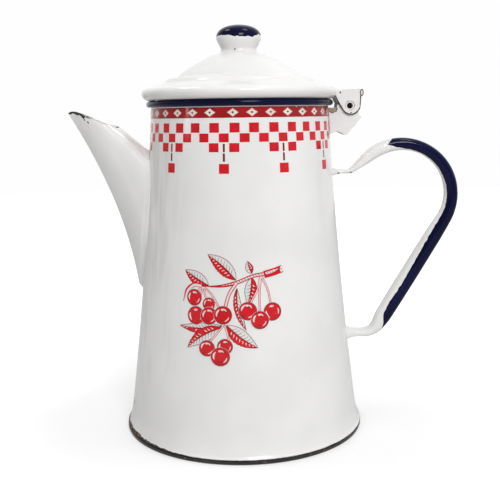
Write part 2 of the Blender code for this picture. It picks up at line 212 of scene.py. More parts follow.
def enamel(name, colour, shade, under=IRON, seed=0.0, streaks=0.0, waviness=0.05, gloss_level=0.5,
           chips=(), bare=(), stained=()):
    """Glassy enamel with faint clouds and specks, chipped to iron where wear is high.

    chips, bare and stained hold (x, y, z, radius): single chips (then edges don't chip), spots
    worn to brown metal, and brown stains.
    """
    s = Shader(name, 0.12)
    s.bsdf.inputs["Specular IOR Level"].default_value = gloss_level
    base = s.mix(s.step(s.noise(30, 2, seed=seed), 0.35, 0.7), colour, shade)
    if streaks:
        lines = s.noise(5, 2, stretch=(1, 1, 14), seed=seed + 3)
        side = s.attribute("streak")
        mask = s.math("MULTIPLY", s.step(lines, 0.45, 0.62), s.math("MULTIPLY", side, streaks))
        base = s.mix(mask, base, (0.50, 0.46, 0.42, 1))
    speck = s.step(s.noise(1.3, 1, seed=seed + 9), 0.80, 0.84)
    base = s.mix(s.math("MULTIPLY", speck, 0.35), base, under)
    rough_edge = s.math("MULTIPLY", s.math("SUBTRACT", s.noise(1.9, 4, seed=seed + 5), 0.5), 1.0)
    worn = rough_edge if chips else s.math("ADD", s.attribute("wear"), rough_edge)
    halo = s.step(worn, 0.47, 0.60)
    chip = s.step(worn, 0.57, 0.61)
    for x, y, z, radius in (*chips, *bare):
        chip = s.math("MAXIMUM", chip, s.spot(x, y, z, radius, seed))
    rust = s.step(s.noise(2.5, 3, seed=seed + 7), 0.52, 0.62)
    base = s.mix(s.math("MULTIPLY", halo, 0.45), base, (0.36, 0.30, 0.25, 1))
    base = s.mix(chip, base, s.mix(s.math("MULTIPLY", rust, s.attribute("rust")), under, RUST))
    for x, y, z, radius in stained:
        base = s.mix(s.math("MULTIPLY", s.spot(x, y, z, radius, seed), 0.5), base, (0.20, 0.11, 0.045, 1))
    for x, y, z, radius in bare:
        base = s.mix(s.spot(x, y, z, radius * 0.88, seed), base, (0.30, 0.225, 0.15, 1))
    s.set(s.bsdf.inputs["Base Color"], base)
    gloss = s.step(s.noise(6, 3, seed=seed + 2), 0.3, 0.7, 0.09, 0.17)
    s.set(s.bsdf.inputs["Roughness"], s.math("ADD", gloss, s.math("MULTIPLY", chip, 0.45)))
    wave = s.bump(s.noise(11, 1, seed=seed + 1), waviness)
    peel = s.bump(s.noise(1.6, 2, seed=seed + 4), waviness * 0.06, wave)
    s.set(s.bsdf.inputs["Normal"], s.bump(chip, -0.12, peel))
    return s.mat


def ink(name, colour, shade, seed):
    """A fired transfer colour: a little uneven, with pinholes that show the enamel."""
    s = Shader(name, 0.13)
    s.bsdf.inputs["Specular IOR Level"].default_value = 0.35
    base = s.mix(s.step(s.noise(7, 3, seed=seed), 0.35, 0.65), colour, shade)
    pinhole = s.step(s.noise(0.9, 2, seed=seed + 6), 0.76, 0.80)
    base = s.mix(s.math("MULTIPLY", pinhole, 0.7), base, WHITE_SHADE)
    s.set(s.bsdf.inputs["Base Color"], base)
    s.set(s.bsdf.inputs["Roughness"], s.step(s.noise(4, 2, seed=seed + 1), 0.3, 0.7, 0.09, 0.18))
    s.set(s.bsdf.inputs["Normal"], s.bump(s.noise(11, 1, seed=1.0), 0.05))
    return s.mat


def steel(name, colour, shade, roughness):
    """Bare steel, dull and a little rusty."""
    s = Shader(name, roughness)
    s.bsdf.inputs["Metallic"].default_value = 1.0
    base = s.mix(s.step(s.noise(1.5, 4), 0.4, 0.65), colour, shade)
    s.set(s.bsdf.inputs["Base Color"], base)
    s.set(s.bsdf.inputs["Roughness"], s.step(s.noise(0.8, 3, seed=2), 0.3, 0.7, roughness, 0.75))
    s.set(s.bsdf.inputs["Normal"], s.bump(s.noise(0.6, 3, seed=4), 0.02))
    return s.mat


# ------------ meshes

def piece(name, points, faces, mats, body, nodes=(), slot=None, face_mats=None, sharp=38,
          wear=None, rust=None, streak=None, closed=True):
    """A finished piece from points in mm; wear, rust and streak give a value for each point."""
    mesh = bpy.data.meshes.new(name)
    mesh.from_pydata([Vector(p) * MM for p in points], [], faces)
    for mat in mats:
        mesh.materials.append(mat)
    if face_mats:
        mesh.polygons.foreach_set("material_index", face_mats)
    bm = bmesh.new()
    bm.from_mesh(mesh)
    bmesh.ops.remove_doubles(bm, verts=bm.verts, dist=0.002 * MM)
    if closed:
        bmesh.ops.recalc_face_normals(bm, faces=bm.faces)
    bm.to_mesh(mesh)
    bm.free()
    finish_mesh(mesh, sharp, wear, rust, streak)
    obj = bpy.data.objects.new(name, mesh)
    bpy.context.scene.collection.objects.link(obj)
    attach(obj, body)
    if nodes:
        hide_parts(*nodes)
    return obj


def finish_mesh(mesh, sharp, wear=None, rust=None, streak=None):
    for polygon in mesh.polygons:
        polygon.use_smooth = True
    mesh.set_sharp_from_angle(angle=radians(sharp))
    for label, value in (("wear", wear), ("rust", rust), ("streak", streak)):
        if value is None:
            continue
        values = mesh.attributes.new(label, "FLOAT", "POINT")
        values.data.foreach_set("value", [value(v.co / MM) for v in mesh.vertices])


def grid(rows, closed_across=False, closed_along=False):
    """The points and quads of a grid of rows."""
    points = [p for row in rows for p in row]
    wide = len(rows[0])
    faces = []
    for j in range(len(rows) if closed_along else len(rows) - 1):
        for i in range(wide if closed_across else wide - 1):
            a, b = j * wide, (j + 1) % len(rows) * wide
            k = (i + 1) % wide
            faces.append((a + i, a + k, b + k, b + i))
    return points, faces


def turned(name, profile, mats, body, steps=AROUND, row_mats=None, closed=True, shift=None, **extra):
    """A profile of (r, z) turned about the axis; shift(turn, row) may move a row's (r, z)."""
    rows = []
    for j, (r, z) in enumerate(profile):
        row = []
        for i in range(steps):
            turn = 2 * pi * i / steps
            rr, zz = shift(turn, j, r, z) if shift else (r, z)
            row.append((rr * sin(turn), -rr * cos(turn), zz))
        rows.append(row)
    points, faces = grid(rows, closed_across=True, closed_along=closed)
    faces = [tuple(dict.fromkeys(f)) for f in faces]
    face_mats = None
    if row_mats:
        face_mats = [row_mats[j] for j in range(len(faces) // steps) for _ in range(steps)]
    return piece(name, points, faces, mats, body, face_mats=face_mats, **extra)


def spots(*places):
    """Wear that is highest at each (x, y, z, reach, value)."""
    def value(p):
        most = 0.0
        for x, y, z, reach, top in places:
            gone = (p - Vector((x, y, z))).length / reach
            most = max(most, top * (1 - smooth(0.4, 1.3, gone)))
        return most
    return value


# ------------ the pot's body

def rim_arc(start, end, count):
    return [(RIM_R + RIM_TUBE * cos(radians(start + (end - start) * i / count)),
             WALL_TOP + RIM_TUBE * sin(radians(start + (end - start) * i / count)))
            for i in range(count + 1)]


def make_body(white, navy):
    foot = [(62.8, 1.5), (63.7, 1.5), (63.85, 1.7), (63.85, 2.3), (64.3, 2.4), (64.7, 2.55),
            (64.85, 2.8), (64.8, 3.1), (64.6, 3.4)]
    outer = [(cone(z), z) for z in (3.8, 4.4, 5.2, 6.2, 7.4, 8.8, 10.4, 12.5, 15.5)]
    outer += [(cone(z), z) for z in np.linspace(19, 172, 50)] + [(cone(173.0), 173.0)]
    tuck = [(cone(173.55), 173.55), (47.2, 173.85)]
    roll = rim_arc(-100, 182, 26)
    inner = [(cone(z) - 1.0, z) for z in (174.6, 173.6, 172.4, 171.0)]
    inner += [(cone(z) - 1.0, z) for z in np.linspace(168, 5, 40)]
    profile = foot + outer + tuck + roll + inner
    first = len(foot + outer + tuck) - 1
    last = first + len(roll) + 1
    row_mats = [1 if first <= j <= last else 0 for j in range(len(profile))]

    def shift(turn, j, r, z):
        if j == last + 1 or j == last:
            return r, z + 0.5 * ripple(4 * sin(turn), 4 * cos(turn), 2.0)
        return r, z

    def wear(p):
        turn = atan2(p.x, -p.y)
        outside = p.xy.length > cone(max(p.z, 0)) - 0.5
        if not outside:
            return 0.0
        # The dark iron band round the foot reaches higher on the left side.
        reach = 2.9 + 1.8 * smooth(-0.2, -1.3, turn) + 0.6 * ripple(9 * sin(turn), 9 * cos(turn), 5)
        foot_dark_band = 0.95 * (1 - smooth(reach - 1.0, reach + 0.6, p.z)) if p.z < 5.5 else 0.0
        return max(foot_dark_band, body_spots(p))

    def streak(p):
        turn = atan2(p.x, -p.y)
        return smooth(-0.45, -1.15, turn) * smooth(20, 60, p.z) * smooth(-2.3, -1.9, turn)

    body = turned("body_shell", profile, [white, navy], "pot", row_mats=row_mats, shift=shift,
                  nodes=("body_shell",), slot="body_enamel", wear=wear, streak=streak,
                  rust=lambda p: 1.0 if p.z < 30 else 0.0)
    punch_strainer(body)
    return body


def body_spots(p):
    return spots((-61.5, -12.0, 14.0, 3.2, 0.72), (-60.9, -14.5, 18.5, 2.2, 0.66),
                 (48.9, -5.0, 134.6, 2.0, 0.62), (46.2, -10.4, 171.6, 1.9, 0.62))(p)


def punch_strainer(body):
    """Round holes through the wall behind the spout."""
    bm = bmesh.new()
    for row, z in enumerate((96, 104, 112, 120, 128, 136)):
        places = (0,) if row == 0 else ((-4, 4) if row % 2 else (-8, 0, 8))
        for y in places:
            turn = Matrix.Translation(Vector((-52, y, z)) * MM) @ Matrix.Rotation(pi / 2, 4, "Y")
            bmesh.ops.create_cone(bm, cap_ends=True, segments=20, radius1=2.2 * MM,
                                  radius2=2.2 * MM, depth=24 * MM, matrix=turn)
    bm.verts.index_update()
    points = [v.co / MM for v in bm.verts]
    faces = [tuple(v.index for v in f.verts) for f in bm.faces]
    bm.free()
    cut(body, points, faces)


def cut(obj, points, faces):
    """Takes a closed solid away from obj."""
    mesh = bpy.data.meshes.new("cutter")
    mesh.from_pydata([Vector(p) * MM for p in points], [], faces)
    cutter = bpy.data.objects.new("cutter", mesh)
    bpy.context.scene.collection.objects.link(cutter)
    away = obj.modifiers.new("cut", "BOOLEAN")
    away.operation = "DIFFERENCE"
    away.solver = "EXACT"
    away.object = cutter
    apply_modifiers(obj)
    bpy.data.objects.remove(cutter)


def apply_modifiers(obj):
    done = bpy.data.meshes.new_from_object(obj.evaluated_get(bpy.context.evaluated_depsgraph_get()))
    obj.modifiers.clear()
    obj.data = done


def make_base(black, white):
    profile = [(0, 0), (20, 0), (45, 0), (60, 0), (63.9, 0), (64.4, 0.12), (64.8, 0.4), (65, 0.8),
               (65, 1.3), (65, 1.85), (64.9, 2.1), (64.7, 2.2), (64.3, 2.2), (64.1, 2.1),
               (64.1, 1.7), (63.9, 1.35), (63.4, 1.2), (45, 1.2), (20, 1.2), (0, 1.2)]
    row_mats = [0] * 14 + [1] * 6
    wear = lambda p: 0.62 if p.z < 0.5 and p.xy.length > 62 else 0.35
    return turned("base_pan", profile, [black, white], "pot", row_mats=row_mats, closed=False,
                  nodes=("base_pan",), slot="base_enamel", wear=wear, rust=lambda p: 1.0)


# ------------ spout

SPOUT_ROOT = (-57.0, 79.0, -48.0, 150.2, 18.6)     # lower end x, z; upper end x, z; half width
SPOUT_TIP = (-91.6, 171.6, -64.9, 164.4, 7.6)
SPOUT_SUNK = (7.0, -6.0, 4.5, -0.7, 0.9)           # how these change from the root into the wall
SPOUT_SAG = 21.5                                   # how far its lower side bows in towards the pot
SPOUT_STEPS = 7
LIP = [(0, 0.0), (0.05, 1.0), (0.13, 1.6), (0.3, 1.1), (0.6, 0.1), (0.85, -0.3), (1, -0.3)]
SPOUT_SIDES = 96
SHOULDER = radians(34)          # where the spout's flatter top turns into its sides
SPOUT_ROWS = 56


def spout_section(v):
    """The section at v, which runs from 0 in the wall over 1 at the root to 7 at the tip."""
    if v < 1:
        return [root + sunk * (1 - v) for root, sunk in zip(SPOUT_ROOT, SPOUT_SUNK)]
    t = (v - 1) / (SPOUT_STEPS - 1)
    section = [root + (tip - root) * t for root, tip in zip(SPOUT_ROOT, SPOUT_TIP)]
    section[0] += SPOUT_SAG * t * (1 - t)
    return section


def spout_point(v, turn):
    low_x, low_z, up_x, up_z, half_width = spout_section(v)
    share = (1 + cos(turn)) / 2
    mid = Vector(((low_x + up_x) / 2, 0, (low_z + up_z) / 2))
    half = Vector(((up_x - low_x) / 2, 0, (up_z - low_z) / 2))
    across = Vector((0, half_width * sin(turn) * share ** 0.42, 0))
    deep = cos(turn)
    if deep > 0:
        roof = 1 - 0.13 * abs(sin(turn) / sin(SHOULDER)) ** 1.3
        side = 0.90 * (deep / cos(SHOULDER)) ** 0.8
        ridged = roof if deep > cos(SHOULDER) else side
        deep = ridged + (deep - ridged) * smooth(4.2, 6.8, v)
    lip = Vector((0, 0, float(table(LIP, share)[0]) * smooth(6.0, 7.0, v)))
    return mid + half * deep + across + lip, mid


def clear_of_wall(p):
    return hypot(p.x, p.y) - cone(p.z)


def spout_column(turn):
    """Outer points from the wall to the lip, with a fillet where it meets the wall."""
    v = 7.0
    while v > 0.02 and clear_of_wall(spout_point(v, turn)[0]) > 0:
        v -= 0.02
    column = []
    for j in range(SPOUT_ROWS + 1):
        share = (j / SPOUT_ROWS) ** 1.25
        p, mid = spout_point(v + (7.0 - v) * share, turn)
        away = (p - mid).normalized()
        fillet = 0.9 + 0.7 * smooth(1.0, -0.5, cos(turn))
        column.append(p + away * fillet * max(0.0, 1 - max(0.0, clear_of_wall(p)) / 4.0) ** 2)
    column[0] = onto_wall(column[0])
    return column


def onto_wall(p):
    flat = p.xy.normalized() * (cone(p.z) - 0.05)
    return Vector((flat.x, flat.y, p.z))


def make_spout(white):
    turns = [2 * pi * (i + 0.5) / SPOUT_SIDES for i in range(SPOUT_SIDES)]
    columns = [spout_column(t) for t in turns]
    outer = np.array([[columns[i][j] for i in range(SPOUT_SIDES)] for j in range(SPOUT_ROWS + 1)])
    around = np.roll(outer, -1, 1) - np.roll(outer, 1, 1)
    along = np.gradient(outer, axis=0)
    out = np.cross(around, along)
    out /= np.linalg.norm(out, axis=2, keepdims=True)
    middle = outer.mean(axis=1, keepdims=True)
    if (out * (outer - middle)).sum() < 0:
        out = -out
    inner = outer - 0.9 * out
    inner[0] = [onto_wall(Vector(p)) for p in inner[0]]
    lip = outer[-1] - 0.45 * out[-1]
    outer[-1] -= 0.22 * along[-1] / np.linalg.norm(along[-1], axis=1, keepdims=True) + 0.05 * out[-1]
    inner[-1] -= 0.22 * along[-1] / np.linalg.norm(along[-1], axis=1, keepdims=True)
    rows = [*outer, lip, *inner[::-1]]
    points, faces = grid([[tuple(p) for p in row] for row in rows], closed_across=True,
                         closed_along=True)

    def wear(p):
        share = smooth(-64.9, -91.6, p.x)
        line = np.interp(p.x, [-91.6, -88.2, -64.9], [171.6, 172.4, 164.1])
        below = line - p.z
        reach = 0.75 + 1.5 * smooth(0.66, 0.95, share)
        edge = 0.86 * (1 - smooth(reach * 0.35, reach * 1.15, below)) if below < 6 else 0.0
        crack = 0.0
        for x, z, radius in ((-82.9, 168.4, 1.15), (-81.6, 167.6, 0.7), (-80.3, 166.8, 0.65),
                             (-79.0, 166.0, 0.6), (-77.7, 165.3, 0.55)):
            if p.y < 0:
                crack = max(crack, 0.85 * (1 - smooth(0.5, 1.3, hypot(p.x - x, p.z - z) / radius)))
        return max(edge, crack)

    return piece("spout_shell", points, faces, [white], "pot", nodes=("spout_shell",),
                 slot="spout_enamel", wear=wear, sharp=50,
                 streak=lambda p: 0.2 * smooth(-58, -80, p.x))


# ------------ handle

GRIP_FROM = 14.5               # where the grip begins along the path
GRIP_TO = 178.0                # and where it ends


BEND = (86.6, 125.9)            # centre of the grip's upper bend
BEND_R = 27.1
BEND_FROM = radians(128)        # angles at which the bend meets the neck and the leg
BEND_TO = radians(-31)
STRAP_TOP = 138.7               # heights of the two straps
STRAP_LOW = 49.25
THICK = [(0, 2.2), (5, 1.05), (11, 1.15), (24, 3.0), (31, 3.4), (60, 3.25), (95, 3.7), (115, 4.4),
         (165, 4.3), (173, 3.2), (180, 2.1), (188, 2.1), (192, 3.7)]      # distance along, half depth
WIDE = [(0, 6.6), (6, 4.9), (100, 5.1), (165, 5.3), (180, 4.7), (188, 4.9), (192, 6.6)]


def rounded(before, corner, after, radius, count=8):
    """Points of an arc that rounds off a corner."""
    corner = Vector(corner)
    to_before = (Vector(before) - corner).normalized()
    to_after = (Vector(after) - corner).normalized()
    half = to_before.angle(to_after) / 2
    middle = corner + (to_before + to_after).normalized() * radius / sin(half)
    start = corner + to_before * radius * cos(half) / sin(half) - middle
    end = corner + to_after * radius * cos(half) / sin(half) - middle
    points = []
    for i in range(count + 1):
        points.append(middle + start.lerp(end, i / count).normalized() * radius)
    return points


def handle_path():
    """Points (x, z, half depth, half width) from the wall over the bend and back to the wall."""
    def on_bend(turn):
        return Vector((BEND[0] + BEND_R * cos(turn), BEND[1] + BEND_R * sin(turn)))

    top, low = on_bend(BEND_FROM), on_bend(BEND_TO)
    kink = (top.x - (top.y - STRAP_TOP) * sin(BEND_FROM) / -cos(BEND_FROM), STRAP_TOP)
    heel = (low.x - (low.y - STRAP_LOW) * sin(-BEND_TO) / cos(BEND_TO), STRAP_LOW)
    corners = [Vector((48.2, STRAP_TOP)), *rounded((48.2, STRAP_TOP), kink, top, 5.0)]
    corners += [on_bend(BEND_FROM + (BEND_TO - BEND_FROM) * i / 60) for i in range(61)]
    corners += [*rounded(low, heel, (56.6, STRAP_LOW), 10.0), Vector((56.6, STRAP_LOW))]
    path = []
    gone = 0.0
    for a, b in zip(corners, corners[1:]):
        pieces = max(1, round((b - a).length / 0.9))
        for i in range(pieces):
            path.append((a.lerp(b, i / pieces), gone + (b - a).length * i / pieces))
        gone += (b - a).length
    path.append((corners[-1], gone))
    stretch = THICK[-1][0] / gone
    return [(p.x, p.y, float(table(THICK, d * stretch)[0]), float(table(WIDE, d * stretch)[0]))
            for p, d in path]


def handle_frames():
    """For each path point: distance along, place, outward direction, half depth and width."""
    path = handle_path()
    frames = []
    gone = 0.0
    for i, (x, z, depth, width) in enumerate(path):
        if i:
            gone += hypot(x - path[i - 1][0], z - path[i - 1][1])
        a, b = path[max(i - 1, 0)], path[min(i + 1, len(path) - 1)]
        along = Vector((b[0] - a[0], b[1] - a[1])).normalized()
        frames.append((gone, Vector((x, z)), Vector((-along.y, along.x)), depth, width))
    return frames


def frame_at(frames, at):
    """The frame at a distance along the path, between the two nearest."""
    k = 0
    while k < len(frames) - 2 and frames[k + 1][0] < at:
        k += 1
    a, b = frames[k], frames[k + 1]
    share = (at - a[0]) / (b[0] - a[0])
    out = a[2].lerp(b[2], share).normalized()
    return (at, a[1].lerp(b[1], share), out, a[3] + (b[3] - a[3]) * share, a[4] + (b[4] - a[4]) * share)


def section_point(frame_, turn, power, inset=0.0):
    _, place, out, depth, width = frame_
    reach = (abs(cos(turn)) ** power + abs(sin(turn)) ** power) ** (-1 / power)
    deep = (depth - inset) * reach * cos(turn)
    return (place.x + deep * out.x, (width - inset) * reach * sin(turn), place.y + deep * out.y)


# Where the blue dip ends on the side of the grip: distance along, share of the half depth
DIP = [(33, 0.3), (46, -0.76), (92, -0.78), (140, -0.38), (160, -0.35), (168, 0.7), (178, 0.94)]


def make_handle(white, navy):
    frames = handle_frames()
    strap_power = 3.6

    def solid(name, chosen, node, slot):
        rows = [[section_point(f, 2 * pi * i / 48, strap_power) for i in range(48)] for f in chosen]
        points, faces = grid(rows, closed_across=True)
        faces += [tuple(range(48))[::-1], tuple((len(rows) - 1) * 48 + i for i in range(48))]
        piece(name, points, faces, [white], "pot", nodes=(node,), slot=slot,
              wear=spots((59.3, -4.6, 137.7, 1.6, 0.66), (52.0, -5.0, 138.0, 1.4, 0.58)))

    solid("handle_upper_strap", [f for f in frames if f[0] <= GRIP_FROM + 1.2],
          "handle_upper_strap", "strap_enamel")
    solid("handle_lower_strap", [f for f in frames if f[0] >= GRIP_TO - 1.2],
          "handle_lower_strap", "strap_enamel")
    grip = [f for f in frames if GRIP_FROM <= f[0] <= GRIP_TO]
    rows = []
    dipped = []
    for f in grip:
        ends = smooth(GRIP_FROM + 2, GRIP_FROM + 16, f[0]) * (1 - smooth(GRIP_TO - 14, GRIP_TO - 3, f[0]))
        slot = radians(1.5 + 4.5 * ends)
        power = 3.6 - 1.1 * smooth(GRIP_FROM, GRIP_FROM + 12, f[0]) + 1.1 * smooth(GRIP_TO - 8, GRIP_TO, f[0])
        border = float(table(DIP, f[0])[0]) + 0.07 * ripple(f[0] / 2.3, 0, 3) if DIP[0][0] <= f[0] else 1
        dipped.append(DIP[0][0] <= f[0] <= DIP[-1][0])
        border = min(0.97, max(-0.9, border))
        edge = turn_at_depth(border, power)
        last = pi - slot
        edge = min(edge, last - 0.2)
        turns = [-last + (last - edge) * k / 8 for k in range(8)]
        turns += [-edge + 2 * edge * k / 24 for k in range(24)]
        turns += [edge + (last - edge) * k / 8 for k in range(9)]
        slant = 4.6 * (1 - smooth(3, 14, abs(f[0] - DIP[0][0])))
        skin = [section_point(frame_at(frames, f[0] + slant * cos(t)), t, power) for t in turns]
        lining = [section_point(frame_at(frames, f[0] + slant * cos(t)), t, power, 0.9) for t in turns[::-1]]
        rows.append(skin + lining)
    points, faces = grid(rows, closed_across=True)
    wide = len(rows[0])
    face_mats = []
    for j in range(len(rows) - 1):
        for i in range(wide):
            face_mats.append(1 if dipped[j] and dipped[j + 1] and 8 <= i < 32 else 0)
    for end in (0, (len(rows) - 1) * wide):
        for i in range(40):
            faces.append((end + i, end + i + 1, end + wide - 2 - i, end + wide - 1 - i))
            face_mats.append(0)
    piece("handle_grip", points, faces, [white, navy], "pot", nodes=("handle_grip",),
          slot="grip_enamel", face_mats=face_mats,
          wear=spots((93.8, -4.4, 101.5, 1.6, 0.6), (74.5, 0, 49.0, 2.5, 0.5)))


def turn_at_depth(share, power):
    """The section angle at which the skin is at a share of the half depth."""
    low, high = 0.0, pi
    for _ in range(30):
        mid = (low + high) / 2
        reach = (abs(cos(mid)) ** power + abs(sin(mid)) ** power) ** (-1 / power)
        if reach * cos(mid) > share:
            low = mid
        else:
            high = mid
    return (low + high) / 2


# ------------ hinge

def soften(obj, edge_width, trim_y=None, trim=0.58):
    """Rounds the edges of a folded sheet piece; its edges take the second material.

    Flat faces at trim_y get a strip of that material along their outline too.
    """
    bm = bmesh.new()
    bm.from_mesh(obj.data)
    bmesh.ops.remove_doubles(bm, verts=bm.verts, dist=0.005 * MM)
    bmesh.ops.dissolve_limit(bm, angle_limit=radians(2), verts=bm.verts, edges=bm.edges)
    for face in bm.faces:
        face.material_index = 0
    if trim_y:
        flat = [f for f in bm.faces
                if abs(f.normal.y) > 0.99 and abs(abs(f.calc_center_median().y) - trim_y * MM) < 0.1 * MM]
        strip = bmesh.ops.inset_region(bm, faces=flat, thickness=trim * MM, use_even_offset=True)
        for face in strip["faces"]:
            face.material_index = 1
    bm.to_mesh(obj.data)
    bm.free()
    bevel = obj.modifiers.new("edges", "BEVEL")
    bevel.width = edge_width * MM
    bevel.segments = 3
    bevel.limit_method = "ANGLE"
    bevel.angle_limit = radians(38)
    bevel.material = len(obj.data.materials) - 1
    apply_modifiers(obj)


def cad_copy(node, mats, body, edge_width=0.25, wear=None):
    """A CAD piece with rounded edges."""
    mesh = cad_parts[node].data.copy()
    mesh.materials.clear()
    for mat in mats:
        mesh.materials.append(mat)
    obj = bpy.data.objects.new(node + "_look", mesh)
    bpy.context.scene.collection.objects.link(obj)
    soften(obj, edge_width)
    finish_mesh(obj.data, 45, wear)
    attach(obj, body)
    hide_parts(node)


def slab(outline, half_width):
    """Points and faces of an outline in x and z, drawn out to both sides."""
    count = len(outline)
    around = sum(outline[i - 1][0] * outline[i][1] - outline[i][0] * outline[i - 1][1] for i in range(count))
    if around > 0:
        outline = outline[::-1]
    points = [(x, -half_width, z) for x, z in outline] + [(x, half_width, z) for x, z in outline]
    faces = [tuple(range(count))[::-1], tuple(range(count, 2 * count))]
    faces += [(i, (i + 1) % count, (i + 1) % count + count, i + count) for i in range(count)]
    return points, faces


def round_outline(x, z, wide, tall, count=32):
    return [(x + wide * cos(2 * pi * i / count), z + tall * sin(2 * pi * i / count)) for i in range(count)]


def chipped_and_shaded_edge():
    """The edges of the hinge's sheet, where the white enamel has mostly gone; on the leaf's left and lower
    edges their darkness is partly painted shade.
    """
    s = Shader("hinge_edge", 0.3)
    uneven = s.math("ADD", s.noise(2.2, 3, seed=11), s.attribute("wear"))
    bare = s.step(uneven, 0.74, 0.80)
    s.set(s.bsdf.inputs["Base Color"], s.mix(bare, WHITE_SHADE, IRON))
    s.set(s.bsdf.inputs["Roughness"], s.step(bare, 0, 1, 0.15, 0.6))
    s.set(s.bsdf.inputs["Normal"], s.bump(s.noise(0.7, 3, seed=12), 0.03))
    return s.mat


def make_leaf(white, edge):
    """The lid's half of the hinge: two ears under a top plate, with a rolled hem at the back."""
    heel = [(58.2 + 5.1 * cos(radians(a)), 173.9 + 5.1 * sin(radians(a))) for a in range(-10, -141, -10)]
    outline = [(49.6, 181.6), (52.5, 181.75), (56.0, 181.85), (60, 182.0), (63.0, 182.1),
               (63.9, 182.0), (64.4, 181.3), (64.4, 179.2), (63.9, 178.3), (63.5, 178.0),
               *heel, (50.9, 176.1), (49.7, 178.8)]
    points, faces = slab(outline, EAR_OUT)
    leaf = piece("lid_hinge_leaf", points, faces, [white, edge], "lid", nodes=("lid_hinge_leaf",),
                 slot="leaf_enamel")
    cut(leaf, *slab([(46, 180.4), (56, 180.7), (62.6, 181.0), (63.0, 178.2), (70, 178.2), (70, 160),
                     (46, 160)], EAR_IN))
    cut(leaf, *slab(round_outline(PIN_X, PIN_Z, 1.55, 1.55, 40), 15))
    soften(leaf, 0.22, trim_y=EAR_OUT)

    # Values for the edge material: the higher ones on the left and lower edges darken those edge lines,
    # partly real bare iron and partly painted shade.
    def wear(p):
        if p.z > 180.5 or hypot(p.x - PIN_X, p.z - PIN_Z) < 2.5:
            return 0.12
        return 0.62 if p.x < 56 or p.z < 171.5 else (0.38 if p.x > 61.5 else 0.5)

    finish_mesh(leaf.data, 45, wear)
    rings = [(0.95, 1.85, 9.45), (0.95, 1.85, HEM_OUT), (0.48, 1.32, HEM_OUT),
             (0.48, 1.32, HEM_SUNK), (0.01, 0.01, HEM_SUNK)]
    for side in (-1, 1):
        rows = [[(x, side * y, z) for x, z in round_outline(HEM_X, HEM_Z, wide, tall)]
                for wide, tall, y in rings]
        points, faces = grid(rows, closed_across=True)
        face_mats = [1 if j < 3 else 0 for j in range(len(rings) - 1) for _ in range(32)]
        piece("lid_hinge_hem_" + ("near" if side < 0 else "far"), points, faces, [white, edge], "lid",
              slot="leaf_enamel", face_mats=face_mats, closed=False,
              wear=lambda p: 0.0 if abs(abs(p.y) - HEM_SUNK) < 0.02 else 0.8)


def make_hinge():
    edge = chipped_and_shaded_edge()
    web = enamel("bracket_enamel", WHITE, WHITE_SHADE, seed=5.0,
                 bare=[(48.8, -8.2, 172.2, 2.4)], chips=[(51.5, -8.2, 175.2, 1.0)])
    ear = enamel("leaf_enamel", WHITE, WHITE_SHADE, seed=6.0,
                 chips=[(52.6, -9.6, 180.3, 0.42), (58.2, -9.6, 169.9, 0.36)],
                 stained=[(57.8, -9.6, 173.7, 2.5)])
    cad_copy("hinge_bracket", [web, edge], "pot", wear=lambda p: 0.22)
    make_leaf(ear, edge)
    # The pin's near-black colour is painted shade: its recessed end is darkened so that the hole reads black.
    pin = steel("pin_steel", (0.020, 0.015, 0.012, 1), (0.012, 0.009, 0.007, 1), 0.6)
    cad_copy("hinge_pin", [pin], "pot")


# ------------ lid

def make_lid(white):
    outer = [(0.0, 202.9), (5.0, 202.65), (9.5, 201.9), (15.8, 199.8), (21.4, 197.0), (28.3, 192.9),
             (31.3, 190.75), (32.8, 189.45), (34.2, 188.75), (36.2, 188.65), (37.9, 188.3), (39.1, 187.35),
             (40.2, 186.25), (42.2, 185.7), (44.8, 184.75), (46.8, 184.05), (48.0, 183.75),
             (49.6, 183.45), (50.9, 182.75), (51.75, 181.5), (51.8, 180.2), (51.1, 178.9),
             (50.2, 178.0), (49.2, 177.45)]
    inner = [(48.9, 177.8), (49.6, 178.6), (50.3, 179.3), (50.85, 180.5), (50.5, 181.7), (49.4, 182.4),
             (47.8, 182.85), (46.4, 183.1), (42.0, 184.85), (39.4, 185.7), (38.3, 186.6), (37.2, 187.4),
             (35.0, 187.8), (33.4, 188.3), (30.9, 189.9), (27.8, 192.1), (21.0, 196.0), (15.4, 198.8),
             (9.3, 200.9), (5.0, 201.6), (0.0, 201.9)]
    profile = curve(outer, 0.8) + curve(inner, 1.2)
    turned("lid_shell", profile, [white], "lid", nodes=("lid_shell",), slot="lid_enamel",
           closed=False, wear=spots((-9.5, -4.0, 203.0, 2.6, 0.5)))
    collar = [(46.0, 182.6), (46.8, 182.5), (46.75, 181.6), (46.0, 180.2), (44.9, 178.9), (44.6, 177.8),
              (44.6, 174), (44.6, 171.3), (44.35, 170.85), (44.0, 170.75), (43.7, 171.1), (43.7, 174),
              (43.7, 178.4), (44.2, 179.6), (45.2, 180.8), (45.7, 181.8)]
    turned("lid_collar", collar, [white], "lid", nodes=("lid_collar",), slot="collar_enamel",
           wear=lambda p: 0.62 if p.z < 171.3 else 0.0)


